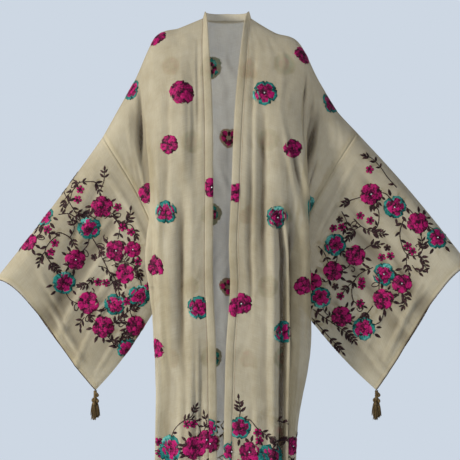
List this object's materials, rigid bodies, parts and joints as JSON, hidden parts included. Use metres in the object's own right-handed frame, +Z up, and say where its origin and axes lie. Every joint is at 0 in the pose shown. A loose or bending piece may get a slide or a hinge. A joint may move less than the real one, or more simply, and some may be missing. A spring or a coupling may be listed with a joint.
{
  "type": "kimono",
  "caption": "Sheer open-front kimono robe with wide slanting sleeves, plain front bands and corner tassels, hollow as it is worn.",
  "frame": {"origin": "base of the wearer's neck, in the middle between the neck points of the shoulder seams", "axes": "+X to the wearer's left, -Y to the front, +Z up"},
  "size_m": [1.229, 0.2705, 1.466],
  "materials": {
    "cloth": "sheer matte voile with embroidery",
    "band": "folded voile",
    "edging": "dark stitched edge",
    "cord": "soft silky thread"
  },
  "bodies": {
    "root": {"back": "cloth", "front_right": "cloth", "front_left": "cloth", "sleeve_right": "cloth", "sleeve_left": "cloth", "band_right": "band", "band_left": "band", "band_neck": "band", "cuff_edge_right": "edging", "cuff_edge_left": "edging", "tassel_cord_right": "cord", "tassel_cord_left": "cord", "tassel_right": "cord", "tassel_left": "cord"}
  },
  "joints": []
}
